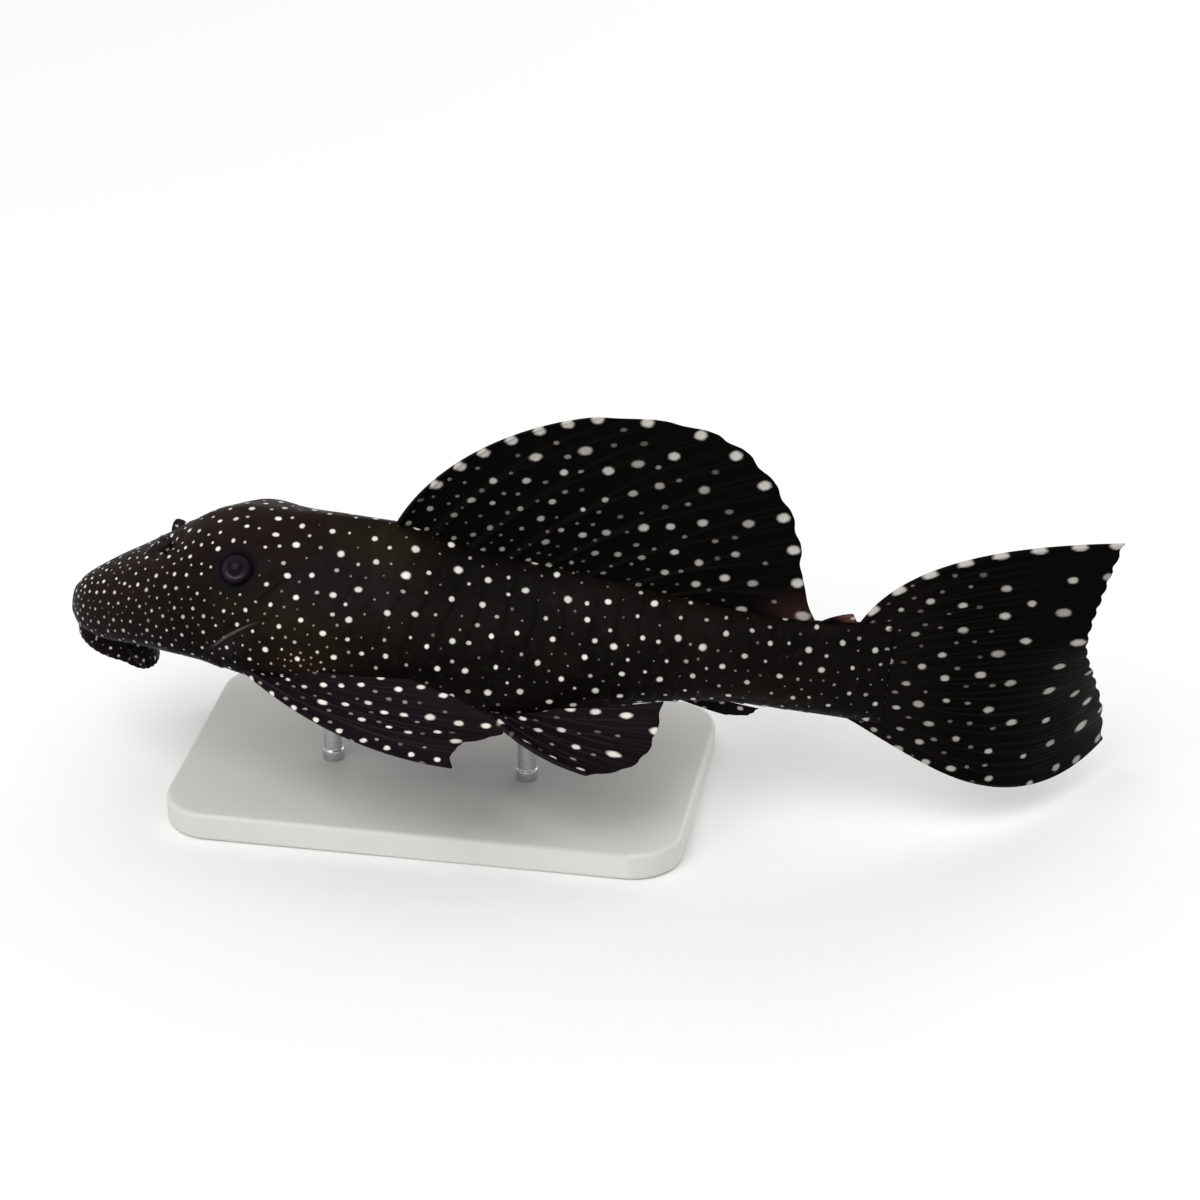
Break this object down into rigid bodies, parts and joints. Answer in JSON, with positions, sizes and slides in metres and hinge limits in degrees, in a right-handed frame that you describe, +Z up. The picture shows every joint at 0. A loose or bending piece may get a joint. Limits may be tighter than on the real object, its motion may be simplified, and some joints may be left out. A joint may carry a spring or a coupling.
{
  "type": "galaxy pleco model",
  "caption": "Life-size still model of a spotted suckermouth catfish with a high back fin and spread fins, held over a plain display stand.",
  "frame": {"origin": "middle of the underside of the stand's base", "axes": "+Z up, -X towards the fish's snout, -Y towards its left side"},
  "size_m": [0.2483, 0.0942, 0.1034],
  "materials": {
    "skin": "wet, semi-gloss, near black with small cream spots",
    "fin": "satin, near black with pale grey spots",
    "paired_fin": "satin, dark slate violet with cream spots",
    "eye": "clear gloss over dark blue violet",
    "stand": "matt warm grey paint",
    "rod": "brushed"
  },
  "bodies": {
    "root": {"head": "skin", "trunk": "skin", "tail": "skin", "eye_left": "eye", "eye_right": "eye", "dorsal_fin": "fin", "adipose_fin": "fin", "caudal_fin": "fin", "anal_fin": "fin", "pectoral_fin_left": "paired_fin", "pectoral_fin_right": "paired_fin", "pelvic_fin_left": "paired_fin", "pelvic_fin_right": "paired_fin", "stand_base": "stand", "stand_rod_front": "rod", "stand_rod_rear": "rod"}
  },
  "joints": []
}
